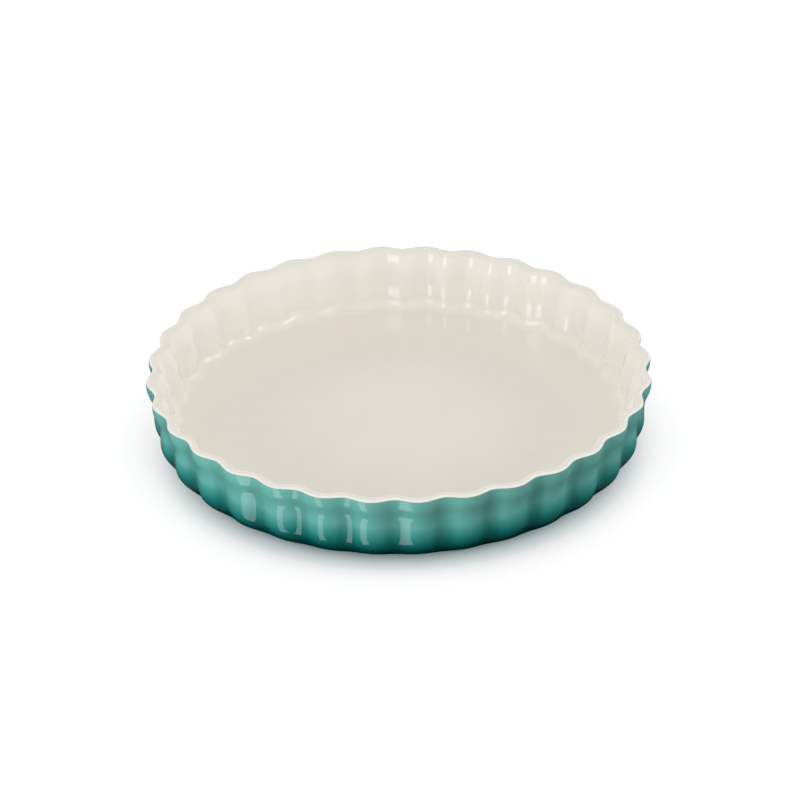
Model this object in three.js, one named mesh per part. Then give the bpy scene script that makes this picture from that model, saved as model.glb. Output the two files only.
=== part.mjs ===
// A round stoneware tart dish with a fluted wall, in millimetres, +Z up.
// The origin is on the dish's axis, at the level that the foot ring stands on.
// A flute crest lies on the +X axis.
//
// The dish is one fired stoneware body under three coats of glaze: a cream one inside and over the lip,
// a coloured one outside, and a coloured one in the recess under the base. The foot ring stays bare.

import * as THREE from "three";

// Overall form
const RIM_DIAMETER = 280; // over the flute crests
const HEIGHT = 45; // foot ring to lip
const WALL = 5; // at the lip, glazes included
const FLOOR = 7; // glazes included

// Flutes
const FLUTES = 32;
const FLUTE_DEPTH = 3.3; // crest to valley, on the wall
const FLOOR_FLUTE_DEPTH = 2.2; // where the wall meets the floor inside
const FOOT_FLUTE_DEPTH = 0.4; // where the wall meets the foot ring outside
const CREST_FULLNESS = 0.12; // how much rounder the crests are than the valleys
const POINTS_PER_FLUTE = 5;

// Wall section, from the lip down: an upright band, a soft step inwards, an upright wall and a rounded heel
const LIP_ROUND = 1.6;
const BAND_HEIGHT = 5; // lip included
const STEP_HEIGHT = 11;
const STEP_INSET = 3.8;
const BEVEL_HEIGHT = 7; // the sloping top of the wall inside, lip included
const BEVEL_INSET = 2;
const WAIST_INSET = 4.75; // inside, level with the foot of the step
const INSIDE_TAPER = 6.6; // inside, from the lip down to the rounded corner
const HEEL_TOP = 19; // level at which the wall starts to turn under
const HEEL_WIDTH = 12.7; // how far inside the wall the foot ring lies
const HEEL_TURN = THREE.MathUtils.degToRad(63); // how far the wall has turned under at the foot ring
const HEEL_PARTS = 3;
const COVE_RADIUS = 6.5; // the rounded corner between wall and floor inside
const COVE_PARTS = 3;

// Foot ring and base
const FOOT_HEIGHT = 1.2;
const FOOT_WIDTH = 6.4;
const FOOT_TAPER = 2; // each side of the foot ring leans in by this much
const RECESS_DEPTH = 4.5;

// Glaze coats
const INTERIOR_GLAZE = 0.5;
const EXTERIOR_GLAZE = 0.5;
const BASE_GLAZE = 0.4;

// Radii and levels that follow from these sizes; every radius is measured at a flute crest
const rimRadius = RIM_DIAMETER / 2;
const bodyRadius = rimRadius - STEP_INSET;
const footRadius = bodyRadius - HEEL_WIDTH;
const mouthRadius = rimRadius - WALL;
const shoulderLevel = HEIGHT - LIP_ROUND;
const bandLevel = HEIGHT - BAND_HEIGHT;
const stepLevel = bandLevel - STEP_HEIGHT;
const bevelLevel = HEIGHT - BEVEL_HEIGHT;
const floorLevel = RECESS_DEPTH + FLOOR;

// How far along from crest (0) to valley (1) the wall lies at an angle round the dish.
// The crests are measured where the model's own points lie, so that they reach the full radius.
function towardsValley(angle) {
  const wave = (phase) => Math.cos(phase) + CREST_FULLNESS * Math.sin(phase) ** 2;
  const crest = wave(Math.PI / POINTS_PER_FLUTE);
  const valley = wave(Math.PI);
  return (crest - wave(FLUTES * angle)) / (crest - valley);
}

// A place on the dish's section: the radius at a crest, the level, and the depth of the flutes there.
const station = (radius, z, flute) => ({ radius, z, flute });

// The points round the dish at one station; at the axis they meet in one point.
function ring({ radius, z, flute }) {
  if (radius === 0) return [new THREE.Vector3(0, 0, z)];
  const count = FLUTES * POINTS_PER_FLUTE;
  return Array.from({ length: count }, (_, i) => {
    const angle = ((i + 0.5) / count) * 2 * Math.PI;
    const r = radius - flute * towardsValley(angle);
    return new THREE.Vector3(r * Math.cos(angle), r * Math.sin(angle), z);
  });
}

// A closed skin over stations in order, anticlockwise on the section with the axis on its left.
// Each four-sided patch is split along its shorter diagonal, so two coats that meet share their facets.
function skin(stations) {
  const rings = stations.map(ring);
  const starts = [];
  const points = [];
  for (const r of rings) {
    starts.push(points.length);
    points.push(...r);
  }
  const faces = [];
  const patch = (a, b, c, d) => {
    const acrossAC = points[a].distanceToSquared(points[c]);
    const acrossBD = points[b].distanceToSquared(points[d]);
    if (acrossAC <= acrossBD) faces.push(a, b, c, a, c, d);
    else faces.push(a, b, d, b, c, d);
  };
  const endsOnAxis = rings[0].length === 1;
  const strips = endsOnAxis ? rings.length - 1 : rings.length;
  for (let k = 0; k < strips; k++) {
    const next = (k + 1) % rings.length;
    const [here, there] = [starts[k], starts[next]];
    const count = Math.max(rings[k].length, rings[next].length);
    for (let i = 0; i < count; i++) {
      const j = (i + 1) % count;
      if (rings[k].length === 1) faces.push(here, there + j, there + i);
      else if (rings[next].length === 1) faces.push(here + i, here + j, there);
      else patch(here + i, here + j, there + j, there + i);
    }
  }
  const geometry = new THREE.BufferGeometry().setFromPoints(points);
  geometry.setIndex(faces);
  geometry.computeVertexNormals();
  return geometry;
}

// The outside of the dish, from the lip's shoulder down to the foot ring, inset mm under the glazed face.
// The heel is part of an ellipse, and the flutes fade away down it.
function outside(inset) {
  const across = HEEL_WIDTH / (1 - Math.cos(HEEL_TURN));
  const down = (HEEL_TOP - FOOT_HEIGHT) / Math.sin(HEEL_TURN);
  const heel = [];
  for (let k = 1; k <= HEEL_PARTS; k++) {
    const angle = (k / HEEL_PARTS) * HEEL_TURN;
    const faded = Math.sin(angle) / Math.sin(HEEL_TURN);
    heel.push(
      station(
        bodyRadius - across + (across - inset) * Math.cos(angle),
        HEEL_TOP - (down - inset) * Math.sin(angle),
        THREE.MathUtils.lerp(FLUTE_DEPTH, FOOT_FLUTE_DEPTH, faded),
      ),
    );
  }
  return [
    station(rimRadius - inset, shoulderLevel, FLUTE_DEPTH),
    station(rimRadius - inset, bandLevel, FLUTE_DEPTH),
    station(bodyRadius - inset, stepLevel, FLUTE_DEPTH),
    ...heel,
  ];
}

// The inside of the dish, from the top of the lip to the middle of the floor, inset mm under the glazed face.
function inside(inset) {
  const centre = mouthRadius - INSIDE_TAPER - COVE_RADIUS;
  const cove = [];
  for (let k = 0; k <= COVE_PARTS; k++) {
    const turned = k / COVE_PARTS;
    const angle = (turned * Math.PI) / 2;
    cove.push(
      station(
        centre + (COVE_RADIUS + inset) * Math.cos(angle),
        floorLevel + COVE_RADIUS - (COVE_RADIUS + inset) * Math.sin(angle),
        THREE.MathUtils.lerp(FLUTE_DEPTH, FLOOR_FLUTE_DEPTH, turned),
      ),
    );
  }
  return [
    station(rimRadius - WALL / 2, HEIGHT - inset, FLUTE_DEPTH),
    station(mouthRadius + inset, shoulderLevel, FLUTE_DEPTH),
    station(mouthRadius - BEVEL_INSET + inset, bevelLevel, FLUTE_DEPTH),
    station(mouthRadius - WAIST_INSET + inset, stepLevel, FLUTE_DEPTH),
    ...cove,
    station(0, floorLevel - inset, 0),
  ];
}

// The recess under the base, from the inner corner of the foot ring to the axis, at a level.
function recess(level) {
  return [station(footRadius - FOOT_WIDTH - FOOT_TAPER, level, 0), station(0, level, 0)];
}

// The bare bottom of the foot ring.
function footRing() {
  return [
    station(footRadius - FOOT_TAPER, 0, 0),
    station(footRadius - FOOT_WIDTH, 0, 0),
  ];
}

function stonewareBody() {
  const base = recess(RECESS_DEPTH);
  return skin([
    ...base.reverse(),
    ...footRing().reverse(),
    ...outside(EXTERIOR_GLAZE).reverse(),
    ...inside(INTERIOR_GLAZE),
  ]);
}

// The cream coat starts at the shoulder of the lip, where it meets the coloured one, and runs over the lip.
function interiorGlaze() {
  const glazedShoulder = outside(0)[0];
  const bareShoulder = outside(EXTERIOR_GLAZE)[0];
  return skin([
    ...inside(INTERIOR_GLAZE).reverse(),
    bareShoulder,
    glazedShoulder,
    ...inside(0),
  ]);
}

function exteriorGlaze() {
  return skin([...outside(EXTERIOR_GLAZE), ...outside(0).reverse()]);
}

function baseGlaze() {
  return skin([
    ...recess(RECESS_DEPTH - BASE_GLAZE).reverse(),
    ...recess(RECESS_DEPTH),
  ]);
}

// Finishes
const bareStoneware = new THREE.MeshStandardMaterial({ color: 0xdccfb8, roughness: 0.85, metalness: 0 });
const creamGlaze = new THREE.MeshStandardMaterial({ color: 0xe3dfd1, roughness: 0.12, metalness: 0 });
const greenGlaze = new THREE.MeshStandardMaterial({ color: 0x4f9a8f, roughness: 0.12, metalness: 0 });

function piece(name, geometry, material) {
  const mesh = new THREE.Mesh(geometry, material);
  mesh.name = name;
  return mesh;
}

const tartDish = new THREE.Group();
tartDish.add(piece("stoneware_body", stonewareBody(), bareStoneware));
tartDish.add(piece("interior_glaze", interiorGlaze(), creamGlaze));
tartDish.add(piece("exterior_glaze", exteriorGlaze(), greenGlaze));
tartDish.add(piece("base_glaze", baseGlaze(), greenGlaze));

export default tartDish;
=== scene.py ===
"""A round fluted stoneware tart dish, cream glazed inside and shaded blue-green outside, on a white floor."""

import math

import bmesh
import bpy
from mathutils import Matrix, Vector


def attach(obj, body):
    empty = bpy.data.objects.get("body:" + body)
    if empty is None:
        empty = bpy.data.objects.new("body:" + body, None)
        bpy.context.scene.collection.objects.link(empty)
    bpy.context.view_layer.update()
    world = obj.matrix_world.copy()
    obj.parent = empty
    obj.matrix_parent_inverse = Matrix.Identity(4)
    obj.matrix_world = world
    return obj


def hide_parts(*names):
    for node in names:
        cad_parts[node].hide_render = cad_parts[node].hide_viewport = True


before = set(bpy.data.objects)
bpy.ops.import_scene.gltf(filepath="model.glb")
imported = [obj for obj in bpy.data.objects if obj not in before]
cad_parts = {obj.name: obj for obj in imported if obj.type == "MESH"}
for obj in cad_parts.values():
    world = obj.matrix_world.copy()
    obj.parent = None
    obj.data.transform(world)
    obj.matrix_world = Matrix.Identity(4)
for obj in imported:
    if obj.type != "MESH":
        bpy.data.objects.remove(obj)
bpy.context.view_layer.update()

# Sizes of the dish in millimetres; radii are measured at a flute crest
MM = 0.001
RIM_RADIUS = 140.0
HEIGHT = 45.0
WALL = 5.0
FLOOR_LEVEL = 11.5

# Flutes, crest to valley
FLUTES = 32
FLUTE_DEPTH = 3.3
FLOOR_FLUTE_DEPTH = 2.2
FOOT_FLUTE_DEPTH = 0.4
CREST_FULLNESS = 0.12  # how much rounder the crests are than the valleys
FLUTE_FADE = 2.0  # above 1, the flutes keep their depth longer down the heel

# Wall section
LIP_RISE = 1.8
COLOUR_LINE = 14.0  # degrees up the lip's outer side at which the two colours meet
BAND_END = 2.5  # depths below the lip between which the wall steps in
STEP_END = 18.5
STEP_ROUNDING = 0.5  # share of the step that each of its rounded ends takes
STEP_INSET = 3.8
INSIDE_LEAN = [  # depth below the lip, and how much the inside slopes there
    (1.8, 0.0),
    (2.6, 0.41),
    (6.0, 0.41),
    (12.0, 0.30),
    (18.0, 0.20),
    (27.0, 0.12),
]
HEEL_TOP = 19.0
HEEL_WIDTH = 12.7
HEEL_TURN = math.radians(63)
COVE_RADIUS = 6.5
FLOOR_RINGS = [(118, 0.8), (108, 0.1), (85, 0), (50, 0), (20, 0), (0, 0)]  # radius, and depth of the scallops

# Foot ring and base
FOOT_HEIGHT = 1.2
FOOT_WIDTH = 6.4
FOOT_TAPER = 2.0
FOOT_EDGE = 0.5  # rounding of the foot ring's edges
RECESS_DEPTH = 4.5
BASE_RADII = [0, 20, 50, 85, 108]

# Glaze coats
GLAZE = 0.5
BASE_GLAZE = 0.4
BASE_EDGE_REACH = 1.5  # how much wider than thick the rounded edge of the base's coat is

# How finely the pieces are divided: a stretch of the section into parts, on a glazed face or on the clay
STEPS_PER_FLUTE = 16
FACE_PARTS = {"wall": 30, "heel": 20, "cove": 14}
CLAY_PARTS = {"wall": 14, "heel": 8, "cove": 6}
CREAM_LIP_PARTS = 16
CREAM_LIP_PARTS_UNDER = 8
GREEN_LIP_PARTS = 3
GREEN_LIP_PARTS_UNDER = 2
CLAY_LIP_PARTS = 5  # each side of the top
FOOT_EDGE_PARTS = 4
GLAZE_EDGE_PARTS = 6
BASE_EDGE_PARTS = 5
SAME_STATION = 1e-4
SAME_POINT = 1e-6  # in metres

# Radii and levels that follow from these sizes
BODY_RADIUS = RIM_RADIUS - STEP_INSET
FOOT_RADIUS = BODY_RADIUS - HEEL_WIDTH
MOUTH_RADIUS = RIM_RADIUS - WALL
RECESS_RADIUS = FOOT_RADIUS - FOOT_WIDTH - FOOT_TAPER
SHOULDER = HEIGHT - LIP_RISE
INNER_WALL_END = FLOOR_LEVEL + COVE_RADIUS

# Green glaze: its colour by height, from the foot at 0 to the lip at 1, as it looks on a screen
GREEN_BY_HEIGHT = [
    (0.00, (0, 42, 40)),
    (0.11, (0, 56, 54)),
    (0.19, (0, 75, 72)),
    (0.25, (3, 90, 87)),
    (0.29, (8, 102, 99)),
    (0.33, (19, 114, 109)),
    (0.38, (34, 128, 120)),
    (0.47, (67, 149, 142)),
    (0.56, (97, 170, 163)),
    (0.80, (100, 172, 163)),
    (1.00, (110, 178, 168)),
]
GREEN_POOLED = (70, 140, 134)
GREEN_CLOUD = (120, 186, 175)
CLOUD_DRIFT = 0.08  # share of the height by which the clouds shift the shading

# Cream glaze; heights are shares of the dish's, from the foot at 0 to the lip at 1
CREAM_WALL = (226, 223, 215)
CREAM_FLOOR = (222, 218, 205)
# painted shade in the middle of the floor
CREAM_FLOOR_PAINTED_SHADE = (215, 210, 197)
CREAM_CLOUD = (223, 218, 206)
# painted shade over the lip
CREAM_LIP_PAINTED_SHADE = (212, 208, 198)
# painted highlight along the lip's outer edge
CREAM_LIP_PAINTED_HIGHLIGHT = (230, 228, 221)
LIP_TOP = (0.955, 0.985)  # between these heights the glaze turns into that of the lip: rougher, and darker with painted shade
COVE_BOTTOM = (0.262, 0.285)
COVE_TOP = (0.35, 0.42)
COVE_ROUGHNESS = 0.13  # on top of that of the wall
LIP_ROUGHNESS = 0.6
COAT_ROUGHNESS = 0.05

# Both glazes
CLOUDED = (0.3, 0.7)  # the values of the clouds between which they appear
GLAZE_ROUGHNESS = 0.07
GLAZE_IOR = 1.52
PEEL_STRENGTH = 0.02
RELIEF_HEIGHT = 0.0003  # in metres, also that of the clay's grain

# Bare clay
CLAY_PALE = (214, 198, 170)
CLAY_DARK = (196, 176, 146)
CLAY_SPECK = (120, 96, 70)
CLAY_ROUGHNESS = 0.85
GRAIN_STRENGTH = 0.5

# Camera, as the dish is seen: from the front and above, far away with a long lens
CAMERA_AZIMUTH = -4.142
CAMERA_ELEVATION = 30.47
CAMERA_DISTANCE = 2.899  # from the middle of the rim
CAMERA_ROLL = 1.016
CAMERA_LENS = 235.9
CAMERA_SENSOR = 36
CAMERA_REACH = 50
AIM_RIGHT = 0.00034  # the point looked at, beside and below the middle of the rim
AIM_DOWN = 0.0180

# Surroundings and floor, in metres
AMBIENT = 0.3  # the light of the surroundings
MIRRORED = 0.75  # the surroundings as the glaze mirrors them
FLOOR_SIZE = 12.0
FLOOR_COLOUR = (0.33, 0.35, 0.36, 1)
FLOOR_BOUNCE = (0.5, 0.5, 0.5, 1)  # the floor's colour for the light that it throws back on the dish
FLOOR_POLISH = (0.08, 0.08, 0.08, 1)  # the floor as the glaze mirrors it
FLOOR_ROUGHNESS = 0.02
SHADOW_STRETCH = (0.96, 1, 1)  # the painted shadow is a little wider than deep, and lies towards the camera
SHADOW_SHIFT = (0, 0.010, 0)
FLOOR_GLOW_AND_PAINTED_SHADOW = [  # the floor's own glow, which darkens near the dish into a painted shadow, from the middle of the shadow outwards
    (0.110, (0.00, 0.03, 0.04, 1)),
    (0.115, (0.19, 0.24, 0.25, 1)),
    (0.119, (0.33, 0.37, 0.37, 1)),
    (0.123, (0.41, 0.44, 0.44, 1)),
    (0.129, (0.57, 0.58, 0.57, 1)),
    (0.135, (0.68, 0.65, 0.65, 1)),
    (0.165, (0.72, 0.71, 0.71, 1)),
    (0.195, (1.00, 1.00, 1.00, 1)),
]

# Lamps: azimuth from the camera's and elevation in degrees, distance, width, height and brightness
SOFTBOX_MIRRORED = (-40, 35, 1.3, 0.47, 1.0, 25.0)
SOFTBOX_INSIDE = (-40, 33.5, 1.3, 0.47, 1.05, 2.9)
GLINTS_RIGHT = (88, 33, 2.0, 1.0, 0.4, 5.5)
SOFTBOX_LEFT = (-40, 20, 1.3, 0.47, 0.86, 9.3)
SOFTBOX_RIGHT = (101, 22, 2.0, 1.0, 0.8, 9.0)
OVERHEAD = (0, 89, 1.6, 1.5, 1.5, 1.45)
RING_LAMP = (20, 2.0, 1.2, 0.8, 3.6)  # all but the azimuth
RING_AZIMUTHS = (-90, -30, 30, 90)
RING_BACK_AZIMUTHS = (-150, 150)


# Shapes: a station is a place on the section, its radius at a crest, its level and the depth of the flutes


def spread(first, last, parts):
    """Evenly spread values from first to last."""
    return [first + (last - first) * k / parts for k in range(parts + 1)]


def step_in(depth):
    """How far inwards the wall has come at a depth below the lip: none on the upright band, then a step."""
    t = min(max((depth - BAND_END) / (STEP_END - BAND_END), 0.0), 1.0)
    c = STEP_ROUNDING
    if t < c:
        stepped = t * t / (2 * c)
    elif t > 1 - c:
        stepped = 1 - c - (1 - t) ** 2 / (2 * c)
    else:
        stepped = t - c / 2
    return STEP_INSET * stepped / (1 - c)


def taper_in(depth):
    """How far inwards the inside has come at a depth below the lip: a sloping top that eases into a wall."""
    come = 0
    for (d0, s0), (d1, s1) in zip(INSIDE_LEAN, INSIDE_LEAN[1:]):
        if depth > d0:
            run = min(depth, d1) - d0
            come += run * (s0 + (s1 - s0) * run / (d1 - d0) / 2)
    return come


def lip(inset, first, last, parts):
    """Over the lip, from an angle to another: 0 is its outer side, 90 its top and 180 its inner side."""
    stations = []
    for degrees in spread(first, last, parts):
        a = math.radians(degrees)
        radius = RIM_RADIUS - WALL / 2 + (WALL / 2 - inset) * math.cos(a)
        stations.append((radius, SHOULDER + (LIP_RISE - inset) * math.sin(a), FLUTE_DEPTH))
    return stations


def outer_wall(inset, parts):
    """Down the outside, from the lip's outer side to where the heel starts."""
    stations = []
    for level in spread(SHOULDER, HEEL_TOP, parts):
        stations.append((RIM_RADIUS - inset - step_in(HEIGHT - level), level, FLUTE_DEPTH))
    return stations


def heel(inset, parts):
    """Down the rounded heel to the foot ring, an arc of an ellipse on which the flutes fade away."""
    across = HEEL_WIDTH / (1 - math.cos(HEEL_TURN))
    down = (HEEL_TOP - FOOT_HEIGHT) / math.sin(HEEL_TURN)
    stations = []
    for a in spread(0, HEEL_TURN, parts):
        faded = (math.sin(a) / math.sin(HEEL_TURN)) ** FLUTE_FADE
        flute = FLUTE_DEPTH + (FOOT_FLUTE_DEPTH - FLUTE_DEPTH) * faded
        radius = BODY_RADIUS - across + (across - inset) * math.cos(a)
        stations.append((radius, HEEL_TOP - (down - inset) * math.sin(a), flute))
    return stations


def inner_wall(inset, parts):
    """Down the inside, from the lip's inner side to where the cove starts."""
    stations = []
    for level in spread(SHOULDER, INNER_WALL_END, parts):
        radius = MOUTH_RADIUS + inset - taper_in(HEIGHT - level)
        stations.append((radius, level, FLUTE_DEPTH))
    return stations


def cove(inset, parts):
    """Round the corner between the inner wall and the floor."""
    centre = MOUTH_RADIUS - taper_in(HEIGHT - INNER_WALL_END) - COVE_RADIUS
    stations = []
    for turned in spread(0, 1, parts):
        a = turned * math.pi / 2
        radius = centre + (COVE_RADIUS + inset) * math.cos(a)
        level = INNER_WALL_END - (COVE_RADIUS + inset) * math.sin(a)
        flute = FLUTE_DEPTH + (FLOOR_FLUTE_DEPTH - FLUTE_DEPTH) * turned
        stations.append((radius, level, flute))
    return stations


def inside_face(inset, lip_start, lip_parts, parts):
    """The inside, inset under the glazed face, from an angle on the lip to the middle of the floor."""
    wall = lip(inset, lip_start, 180, lip_parts) + inner_wall(inset, parts["wall"])
    floor = [(radius, FLOOR_LEVEL - inset, scallop) for radius, scallop in FLOOR_RINGS]
    return wall + cove(inset, parts["cove"]) + floor


def outside_face(inset, lip_start, lip_parts, parts):
    """The outside, inset under the glazed face, from an angle on the lip down to the foot ring."""
    return lip(inset, lip_start, 0, lip_parts) + outer_wall(inset, parts["wall"]) + heel(inset, parts["heel"])


def foot_ring():
    """Down the foot ring's outer side, across its flat and up its inner side, with rounded edges."""
    outer = FOOT_RADIUS - FOOT_TAPER - FOOT_EDGE
    inner = FOOT_RADIUS - FOOT_WIDTH + FOOT_EDGE
    stations = []
    for centre, first, last in ((outer, 0, 90), (inner, 90, 180)):
        for degrees in spread(first, last, FOOT_EDGE_PARTS):
            a = math.radians(degrees)
            stations.append((centre + FOOT_EDGE * math.cos(a), FOOT_EDGE * (1 - math.sin(a)), 0))
    return stations


def towards_valley(angle):
    """0 on a flute's crest and 1 in its valley."""
    phase = FLUTES * angle
    return (1 - math.cos(phase) - CREST_FULLNESS * math.sin(phase) ** 2) / 2


def without_repeats(stations):
    """The stations, less those that lie on the one before."""
    kept = [stations[0]]
    for s in stations[1:]:
        if math.dist(s[:2], kept[-1][:2]) > SAME_STATION:
            kept.append(s)
    return kept


def turned_piece(name, stations, closed):
    """A closed piece: one flute turned about the axis from its section, and repeated round the dish."""
    bm = bmesh.new()
    depth = bm.verts.layers.float.new("flute_depth")
    section = []
    for radius, level, flute in without_repeats(stations):
        v = bm.verts.new((radius * MM, 0, level * MM))
        v[depth] = flute * MM
        section.append(v)
    edges = [bm.edges.new(pair) for pair in zip(section, section[1:])]
    if closed:
        edges.append(bm.edges.new((section[-1], section[0])))
    pitch = 2 * math.pi / FLUTES
    about_axis = {"cent": (0, 0, 0), "axis": (0, 0, 1)}
    bmesh.ops.spin(bm, geom=section + edges, angle=pitch, steps=STEPS_PER_FLUTE, **about_axis)
    bmesh.ops.remove_doubles(bm, verts=bm.verts, dist=SAME_POINT)
    for v in bm.verts:
        radius = math.hypot(v.co.x, v.co.y)
        if radius > SAME_POINT:
            fluted = radius - v[depth] * towards_valley(math.atan2(v.co.y, v.co.x))
            v.co.x *= fluted / radius
            v.co.y *= fluted / radius
    flute = bm.verts[:] + bm.edges[:] + bm.faces[:]
    turn = 2 * math.pi - pitch
    bmesh.ops.spin(bm, geom=flute, angle=turn, steps=FLUTES - 1, use_duplicate=True, **about_axis)
    bmesh.ops.remove_doubles(bm, verts=bm.verts, dist=SAME_POINT)
    bmesh.ops.recalc_face_normals(bm, faces=bm.faces)
    for f in bm.faces:
        f.smooth = True
    mesh = bpy.data.meshes.new(name)
    bm.to_mesh(mesh)
    bm.free()
    piece = bpy.data.objects.new(name, mesh)
    bpy.context.collection.objects.link(piece)
    return piece


def glaze_edge(stations, thickness):
    """The rounded edge of the outer coat, from its face at the end of the stations to the body under it."""
    (r0, z0, _), (r1, z1, flute) = stations[-2:]
    along = Vector((r1 - r0, z1 - z0)).normalized()
    under = Vector((along.y, -along.x))
    bead = []
    for degrees in spread(0, 180, GLAZE_EDGE_PARTS)[1:]:
        a = math.radians(degrees)
        p = Vector((r1, z1)) + under * thickness / 2 * (1 - math.cos(a)) + along * thickness / 2 * math.sin(a)
        bead.append((p.x, p.y, flute))
    return bead


def interior_coat():
    """The cream coat inside and over the lip."""
    face = inside_face(0, COLOUR_LINE, CREAM_LIP_PARTS, FACE_PARTS)
    back = inside_face(GLAZE, COLOUR_LINE, CREAM_LIP_PARTS_UNDER, CLAY_PARTS)
    return turned_piece("cream_glaze_inside", back[::-1] + face, False)


def exterior_coat():
    """The green coat outside, from the lip's outer side to its rounded edge above the foot ring."""
    face = outside_face(0, COLOUR_LINE, GREEN_LIP_PARTS, FACE_PARTS)
    back = outside_face(GLAZE, COLOUR_LINE, GREEN_LIP_PARTS_UNDER, CLAY_PARTS)
    return turned_piece("green_glaze_outside", face + glaze_edge(face, GLAZE) + back[::-1], True)


def base_coat():
    """The green coat in the recess under the base."""
    edge = []
    for degrees in spread(0, 90, BASE_EDGE_PARTS):
        a = math.radians(degrees)
        radius = RECESS_RADIUS - BASE_GLAZE * BASE_EDGE_REACH * math.sin(a)
        edge.append((radius, RECESS_DEPTH - BASE_GLAZE * (1 - math.cos(a)), 0))
    back = [(radius, RECESS_DEPTH, 0) for radius in BASE_RADII]
    face = [(radius, RECESS_DEPTH - BASE_GLAZE, 0) for radius in BASE_RADII[::-1]]
    return turned_piece("green_glaze_under_base", back + edge + face, False)


def stoneware():
    """The clay body under the coats, with its bare foot ring."""
    recess = [(radius, RECESS_DEPTH, 0) for radius in (*BASE_RADII, RECESS_RADIUS)]
    outside = outside_face(GLAZE, 90, CLAY_LIP_PARTS, CLAY_PARTS)
    inside = inside_face(GLAZE, 90, CLAY_LIP_PARTS, CLAY_PARTS)
    return turned_piece("bare_stoneware", recess + foot_ring()[::-1] + outside[::-1] + inside, False)


# Materials


def srgb(red, green, blue):
    """A colour of 0 to 255, as it looks on a screen, as the linear values that a shader takes."""
    linear = []
    for value in (red, green, blue):
        c = value / 255
        linear.append(c / 12.92 if c <= 0.04045 else ((c + 0.055) / 1.055) ** 2.4)
    return (*linear, 1.0)


def new_group(name, *outputs):
    """A shader node group that puts out the named values."""
    group = bpy.data.node_groups.new(name, "ShaderNodeTree")
    for label in outputs:
        group.interface.new_socket(label, in_out="OUTPUT", socket_type="NodeSocketFloat")
    return group


def math_node(nodes, operation, *values):
    """The result of a sum; each value is a number or the socket that feeds it."""
    node = nodes.new("ShaderNodeMath")
    node.operation = operation
    for socket, value in zip(node.inputs, values):
        if isinstance(value, (int, float)):
            socket.default_value = value
        else:
            nodes.id_data.links.new(value, socket)
    return node.outputs[0]


def place_on_dish():
    """A point's height from foot to lip, its nearness to a crest, and its place outwards across the lip."""
    group = new_group("place_on_dish", "Height", "Crest", "Across")
    nodes, links = group.nodes, group.links
    where = nodes.new("ShaderNodeTexCoord")
    parts = nodes.new("ShaderNodeSeparateXYZ")
    links.new(where.outputs["Object"], parts.inputs[0])
    height = math_node(nodes, "DIVIDE", parts.outputs["Z"], HEIGHT * MM)
    angle = math_node(nodes, "ARCTAN2", parts.outputs["Y"], parts.outputs["X"])
    wave = math_node(nodes, "COSINE", math_node(nodes, "MULTIPLY", angle, FLUTES))
    crest = math_node(nodes, "MULTIPLY_ADD", wave, 0.5, 0.5)
    squared = math_node(nodes, "MULTIPLY", wave, wave)
    full = math_node(nodes, "MULTIPLY_ADD", squared, -CREST_FULLNESS, CREST_FULLNESS)
    fallen = math_node(nodes, "SUBTRACT", math_node(nodes, "SUBTRACT", 1, wave), full)
    valley = math_node(nodes, "MULTIPLY", fallen, 0.5)
    flat = nodes.new("ShaderNodeCombineXYZ")
    links.new(parts.outputs["X"], flat.inputs["X"])
    links.new(parts.outputs["Y"], flat.inputs["Y"])
    radius = nodes.new("ShaderNodeVectorMath")
    radius.operation = "LENGTH"
    links.new(flat.outputs[0], radius.inputs[0])
    unfluted = math_node(nodes, "MULTIPLY_ADD", valley, FLUTE_DEPTH * MM, radius.outputs["Value"])
    across = math_node(nodes, "DIVIDE", math_node(nodes, "SUBTRACT", unfluted, MOUTH_RADIUS * MM), WALL * MM)
    out = nodes.new("NodeGroupOutput")
    for label, value in (("Height", height), ("Crest", crest), ("Across", across)):
        links.new(value, out.inputs[label])
    return group


def noise(nodes, coordinates, scale, detail, roughness=0.5):
    """A cloudy value from about 0 to 1."""
    node = nodes.new("ShaderNodeTexNoise")
    node.inputs["Scale"].default_value = scale
    node.inputs["Detail"].default_value = detail
    node.inputs["Roughness"].default_value = roughness
    nodes.id_data.links.new(coordinates, node.inputs["Vector"])
    return node.outputs["Fac"]


def glaze_skin():
    """The skin of a fired glaze: cloudy colour and a fine orange peel."""
    group = new_group("glaze_skin", "Cloud", "Relief")
    nodes, links = group.nodes, group.links
    where = nodes.new("ShaderNodeTexCoord").outputs["Object"]
    out = nodes.new("NodeGroupOutput")
    links.new(noise(nodes, where, scale=28, detail=4, roughness=0.6), out.inputs["Cloud"])
    links.new(noise(nodes, where, scale=900, detail=2), out.inputs["Relief"])
    return group


def new_material(name):
    """A material with its nodes and links."""
    material = bpy.data.materials.new(name)
    material.use_nodes = True
    return material, material.node_tree.nodes, material.node_tree.links


def place_group(nodes, group):
    """Puts a node group among the nodes and gives its outputs."""
    node = nodes.new("ShaderNodeGroup")
    node.node_tree = group
    return node.outputs


def colour_ramp(nodes, factor, stops):
    """A colour that changes evenly from stop to stop."""
    node = nodes.new("ShaderNodeValToRGB")
    ramp = node.color_ramp
    ramp.interpolation = "LINEAR"
    ramp.elements[0].position, ramp.elements[0].color = stops[0]
    ramp.elements[1].position, ramp.elements[1].color = stops[-1]
    for position, colour in stops[1:-1]:
        ramp.elements.new(position).color = colour
    nodes.id_data.links.new(factor, node.inputs["Fac"])
    return node.outputs["Color"]


def mixed(nodes, blend, factor, first, second):
    """A colour mix; each colour is a value or the socket that feeds it."""
    node = nodes.new("ShaderNodeMix")
    node.data_type = "RGBA"
    node.blend_type = blend
    for socket, value in ((node.inputs[0], factor), (node.inputs[6], first), (node.inputs[7], second)):
        if isinstance(value, bpy.types.NodeSocket):
            nodes.id_data.links.new(value, socket)
        else:
            socket.default_value = value
    return node.outputs[2]


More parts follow.
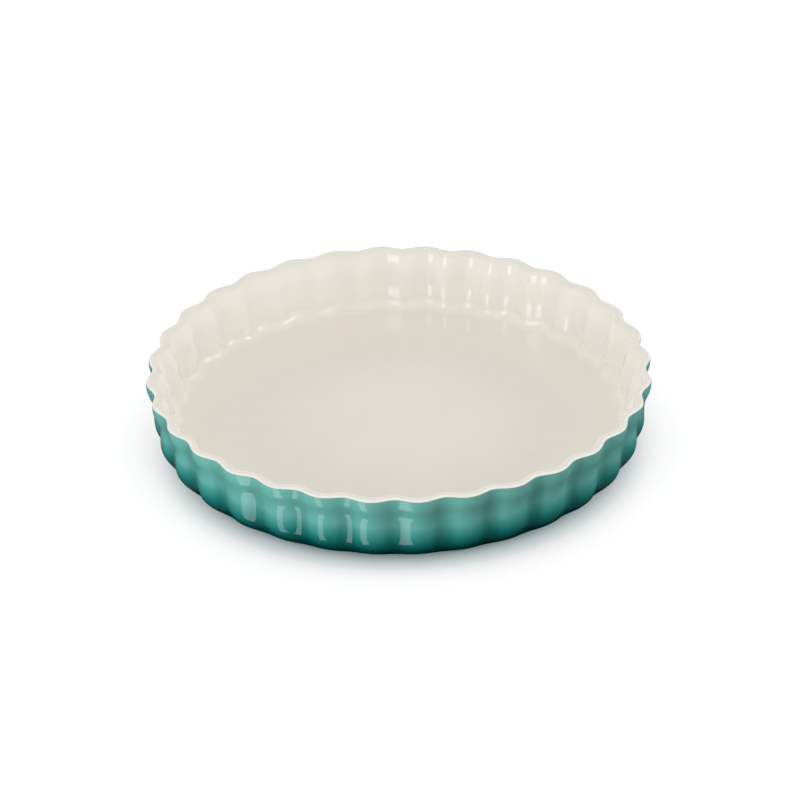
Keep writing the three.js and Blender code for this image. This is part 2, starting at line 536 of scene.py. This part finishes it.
def mapped(nodes, value, between, to):
    """A smooth passage from one number to another, while a value passes between two limits."""
    node = nodes.new("ShaderNodeMapRange")
    node.interpolation_type = "SMOOTHSTEP"
    for label, number in zip(("From Min", "From Max", "To Min", "To Max"), (*between, *to)):
        node.inputs[label].default_value = number
    nodes.id_data.links.new(value, node.inputs["Value"])
    return node.outputs["Result"]


def relief_normal(nodes, height, strength):
    """The normal of a surface with a fine relief."""
    node = nodes.new("ShaderNodeBump")
    node.inputs["Strength"].default_value = strength
    node.inputs["Distance"].default_value = RELIEF_HEIGHT
    nodes.id_data.links.new(height, node.inputs["Height"])
    return node.outputs["Normal"]


def green_glaze(place, skin):
    """The outer glaze: pale at the lip, deep at the foot, thin on the crests and pooled in the valleys."""
    material, nodes, links = new_material("green_glaze")
    shader = nodes["Principled BSDF"]
    where = place_group(nodes, place)
    surface = place_group(nodes, skin)
    drift = math_node(nodes, "MULTIPLY_ADD", surface["Cloud"], CLOUD_DRIFT, -CLOUD_DRIFT / 2)
    drifted = math_node(nodes, "ADD", where["Height"], drift)
    body = colour_ramp(nodes, drifted, [(height, srgb(*colour)) for height, colour in GREEN_BY_HEIGHT])
    low = mapped(nodes, where["Height"], between=(0.5, 0.95), to=(1.0, 0.3))
    in_valley = mapped(nodes, where["Crest"], between=(0.0, 0.55), to=(0.34, 0.0))
    deepened = math_node(nodes, "MULTIPLY", in_valley, low)
    body = mixed(nodes, "MULTIPLY", deepened, body, srgb(*GREEN_POOLED))
    high = mapped(nodes, where["Height"], between=(0.25, 0.6), to=(0.0, 0.10))
    clouds = mapped(nodes, surface["Cloud"], between=CLOUDED, to=(0.0, 1.0))
    cloudy = math_node(nodes, "MULTIPLY", clouds, high)
    body = mixed(nodes, "MIX", cloudy, body, srgb(*GREEN_CLOUD))
    links.new(body, shader.inputs["Base Color"])
    shader.inputs["Roughness"].default_value = GLAZE_ROUGHNESS
    shader.inputs["IOR"].default_value = GLAZE_IOR
    links.new(relief_normal(nodes, surface["Relief"], PEEL_STRENGTH), shader.inputs["Normal"])
    return material


def cream_glaze(place, skin):
    """The inner glaze: a warm off-white, paler on the walls than on the floor, with painted shade in the
    middle of the floor and over the lip, a painted highlight along the lip's outer edge, and rougher over the
    lip.
    """
    material, nodes, links = new_material("cream_glaze")
    shader = nodes["Principled BSDF"]
    where = place_group(nodes, place)
    surface = place_group(nodes, skin)
    height = where["Height"]
    # painted shade: the floor is darker in its middle than near the wall
    away_from_painted_shade = mapped(nodes, where["Across"], between=(-14.0, -6.0), to=(0.0, 1.0))
    deepened = mixed(nodes, "MIX", away_from_painted_shade, srgb(*CREAM_FLOOR_PAINTED_SHADE), srgb(*CREAM_FLOOR))
    # the glaze is paler on the walls than on the floor
    toward_floor = mapped(nodes, height, between=(0.262, 0.40), to=(1.0, 0.0))
    body = mixed(nodes, "MIX", toward_floor, srgb(*CREAM_WALL), deepened)
    cloudy = mapped(nodes, surface["Cloud"], between=CLOUDED, to=(0.0, 0.25))
    body = mixed(nodes, "MIX", cloudy, body, srgb(*CREAM_CLOUD))
    # painted shade darkens the lip, which the lamps light more than the walls
    lip_painted_shade = mapped(nodes, height, between=LIP_TOP, to=(0.0, 0.8))
    body = mixed(nodes, "MIX", lip_painted_shade, body, srgb(*CREAM_LIP_PAINTED_SHADE))
    # a painted highlight brightens the lip's outer edge
    lip_painted_highlight = mapped(nodes, where["Across"], between=(0.72, 0.92), to=(0.0, 1.0))
    body = mixed(nodes, "MIX", lip_painted_highlight, body, srgb(*CREAM_LIP_PAINTED_HIGHLIGHT))
    links.new(body, shader.inputs["Base Color"])
    above_floor = mapped(nodes, height, between=COVE_BOTTOM, to=(0.0, 1.0))
    below_wall = mapped(nodes, height, between=COVE_TOP, to=(1.0, 0.0))
    in_cove = math_node(nodes, "MULTIPLY", above_floor, below_wall)
    over_lip = mapped(nodes, height, between=LIP_TOP, to=(GLAZE_ROUGHNESS, LIP_ROUGHNESS))
    links.new(math_node(nodes, "MULTIPLY_ADD", in_cove, COVE_ROUGHNESS, over_lip), shader.inputs["Roughness"])
    below_slope = mapped(nodes, height, between=(0.70, 0.82), to=(1.0, 0.0))
    links.new(math_node(nodes, "SUBTRACT", below_slope, in_cove), shader.inputs["Coat Weight"])
    shader.inputs["Coat Roughness"].default_value = COAT_ROUGHNESS
    shader.inputs["IOR"].default_value = GLAZE_IOR
    links.new(relief_normal(nodes, surface["Relief"], PEEL_STRENGTH), shader.inputs["Normal"])
    return material


def raw_stoneware():
    """Bare fired clay: buff, grainy and dull, with darker specks."""
    material, nodes, links = new_material("raw_stoneware")
    shader = nodes["Principled BSDF"]
    where = nodes.new("ShaderNodeTexCoord").outputs["Object"]
    cloud = noise(nodes, where, scale=60, detail=5, roughness=0.65)
    body = mixed(nodes, "MIX", cloud, srgb(*CLAY_PALE), srgb(*CLAY_DARK))
    specks = mapped(nodes, noise(nodes, where, scale=700, detail=2), between=(0.66, 0.72), to=(0.0, 0.6))
    body = mixed(nodes, "MIX", specks, body, srgb(*CLAY_SPECK))
    links.new(body, shader.inputs["Base Color"])
    shader.inputs["Roughness"].default_value = CLAY_ROUGHNESS
    grain = noise(nodes, where, scale=1400, detail=3, roughness=0.7)
    links.new(relief_normal(nodes, grain, GRAIN_STRENGTH), shader.inputs["Normal"])
    return material


# Stage


def seen_from(azimuth, elevation):
    """The direction from the dish to where something stands; azimuths are counted from the camera's."""
    a = math.radians(CAMERA_AZIMUTH + azimuth)
    e = math.radians(elevation)
    return Vector((math.sin(a) * math.cos(e), -math.cos(a) * math.cos(e), math.sin(e)))


def make_camera():
    """The camera, turned a little about its line of sight."""
    data = bpy.data.cameras.new("camera")
    data.sensor_width = CAMERA_SENSOR
    data.lens = CAMERA_LENS
    data.clip_end = CAMERA_REACH
    camera = bpy.data.objects.new("camera", data)
    bpy.context.collection.objects.link(camera)
    rim = Vector((0, 0, HEIGHT * MM))
    eye = rim + CAMERA_DISTANCE * seen_from(0, CAMERA_ELEVATION)
    level_right = (rim - eye).cross(Vector((0, 0, 1))).normalized()
    level_up = level_right.cross(rim - eye).normalized()
    aim = rim + AIM_RIGHT * level_right - AIM_DOWN * level_up
    forward = (aim - eye).normalized()
    right = forward.cross(Vector((0, 0, 1))).normalized()
    up = right.cross(forward)
    turn = math.radians(CAMERA_ROLL)
    right, up = right * math.cos(turn) - up * math.sin(turn), right * math.sin(turn) + up * math.cos(turn)
    camera.matrix_world = Matrix.Translation(eye) @ Matrix((right, up, -forward)).transposed().to_4x4()
    bpy.context.scene.camera = camera


def make_lamp(name, placing, mirrored, lights=None):
    """A flat lamp that faces the dish and is only mirrored or only lights, for all pieces or one group."""
    azimuth, elevation, distance, width, height, brightness = placing
    data = bpy.data.lights.new(name, "AREA")
    data.shape = "RECTANGLE"
    data.size = width
    data.size_y = height
    data.energy = brightness * math.pi * width * height
    lamp = bpy.data.objects.new(name, data)
    bpy.context.collection.objects.link(lamp)
    direction = seen_from(azimuth, elevation)
    lamp.location = direction * distance
    lamp.rotation_mode = "QUATERNION"
    lamp.rotation_quaternion = direction.to_track_quat("Z", "Y")
    lamp.visible_diffuse = not mirrored
    lamp.visible_glossy = mirrored
    lamp.light_linking.receiver_collection = lights


def light_group(name, *pieces):
    """The pieces that a lamp lights."""
    group = bpy.data.collections.new(name)
    for piece in pieces:
        group.objects.link(piece)
    return group


def make_world():
    """White surroundings, which give little light and look somewhat darker where they are mirrored."""
    world = bpy.data.worlds.new("studio")
    bpy.context.scene.world = world
    world.use_nodes = True
    nodes, links = world.node_tree.nodes, world.node_tree.links
    background = nodes["Background"]
    path = nodes.new("ShaderNodeLightPath")
    mirrored = math_node(nodes, "MULTIPLY_ADD", path.outputs["Is Glossy Ray"], MIRRORED - AMBIENT, AMBIENT)
    strength = math_node(nodes, "MAXIMUM", path.outputs["Is Camera Ray"], mirrored)
    background.inputs["Color"].default_value = (1, 1, 1, 1)
    links.new(strength, background.inputs["Strength"])


def white_floor():
    """A white that darkens into the dish's shadow, partly cast by the lamps and partly a painted shadow in
    the floor's glow; the shiny glaze mirrors it as a dark polished floor.
    """
    material, nodes, links = new_material("white_floor")
    nodes.remove(nodes["Principled BSDF"])
    path = nodes.new("ShaderNodeLightPath")
    where = nodes.new("ShaderNodeTexCoord").outputs["Object"]
    shifted = nodes.new("ShaderNodeVectorMath")
    shifted.operation = "MULTIPLY_ADD"
    links.new(where, shifted.inputs[0])
    shifted.inputs[1].default_value = SHADOW_STRETCH
    shifted.inputs[2].default_value = SHADOW_SHIFT
    away = nodes.new("ShaderNodeVectorMath")
    away.operation = "LENGTH"
    links.new(shifted.outputs["Vector"], away.inputs[0])
    # painted shadow: the floor's glow darkens towards the dish
    painted_shadow_glow = colour_ramp(nodes, away.outputs["Value"], FLOOR_GLOW_AND_PAINTED_SHADOW)
    seen = math_node(nodes, "MAXIMUM", path.outputs["Is Camera Ray"], path.outputs["Is Transmission Ray"])
    light = nodes.new("ShaderNodeEmission")
    links.new(painted_shadow_glow, light.inputs["Color"])
    links.new(seen, light.inputs["Strength"])
    paper = nodes.new("ShaderNodeBsdfDiffuse")
    links.new(mixed(nodes, "MIX", seen, FLOOR_BOUNCE, FLOOR_COLOUR), paper.inputs["Color"])
    matte = nodes.new("ShaderNodeAddShader")
    links.new(paper.outputs[0], matte.inputs[0])
    links.new(light.outputs[0], matte.inputs[1])
    polish = nodes.new("ShaderNodeBsdfGlossy")
    polish.inputs["Color"].default_value = FLOOR_POLISH
    polish.inputs["Roughness"].default_value = FLOOR_ROUGHNESS
    both = nodes.new("ShaderNodeMixShader")
    links.new(path.outputs["Is Glossy Ray"], both.inputs[0])
    links.new(matte.outputs[0], both.inputs[1])
    links.new(polish.outputs[0], both.inputs[2])
    links.new(both.outputs[0], nodes["Material Output"].inputs["Surface"])
    return material


def make_floor():
    """The floor that the dish stands on."""
    bm = bmesh.new()
    bmesh.ops.create_grid(bm, x_segments=1, y_segments=1, size=FLOOR_SIZE / 2)
    mesh = bpy.data.meshes.new("floor")
    bm.to_mesh(mesh)
    bm.free()
    floor = bpy.data.objects.new("floor", mesh)
    bpy.context.collection.objects.link(floor)
    floor.data.materials.append(white_floor())
    return floor


# The dish

place = place_on_dish()
skin = glaze_skin()
green = green_glaze(place, skin)
cream = cream_glaze(place, skin)
clay = raw_stoneware()

inside = interior_coat()
outside = exterior_coat()
under = base_coat()
body = stoneware()
for piece, node, slot, material in (
    (inside, "interior_glaze", "cream_glaze", cream),
    (outside, "exterior_glaze", "green_glaze", green),
    (under, "base_glaze", "green_glaze", green),
    (body, "stoneware_body", "bare_stoneware", clay),
):
    piece.data.materials.append(material)
    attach(piece, "root")
    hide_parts(node)

# Its surroundings

make_camera()
make_world()
floor = make_floor()

round_about = light_group("round_about", inside, under, body, floor)
from_sides = light_group("from_sides", outside)
on_floor = light_group("on_floor", floor)
in_dish = light_group("in_dish", inside)
make_lamp("softbox_mirrored", SOFTBOX_MIRRORED, mirrored=True, lights=on_floor)
make_lamp("softbox_inside", SOFTBOX_INSIDE, mirrored=True, lights=in_dish)
make_lamp("glints_right", GLINTS_RIGHT, mirrored=True, lights=in_dish)
make_lamp("softbox_left", SOFTBOX_LEFT, mirrored=False, lights=from_sides)
make_lamp("softbox_right", SOFTBOX_RIGHT, mirrored=False, lights=from_sides)
make_lamp("overhead", OVERHEAD, mirrored=False, lights=round_about)
for azimuth in RING_AZIMUTHS:
    make_lamp("ring", (azimuth, *RING_LAMP), mirrored=False, lights=round_about)
for azimuth in RING_BACK_AZIMUTHS:
    make_lamp("ring_back", (azimuth, *RING_LAMP), mirrored=False)

bpy.context.scene.view_settings.view_transform = "Standard"
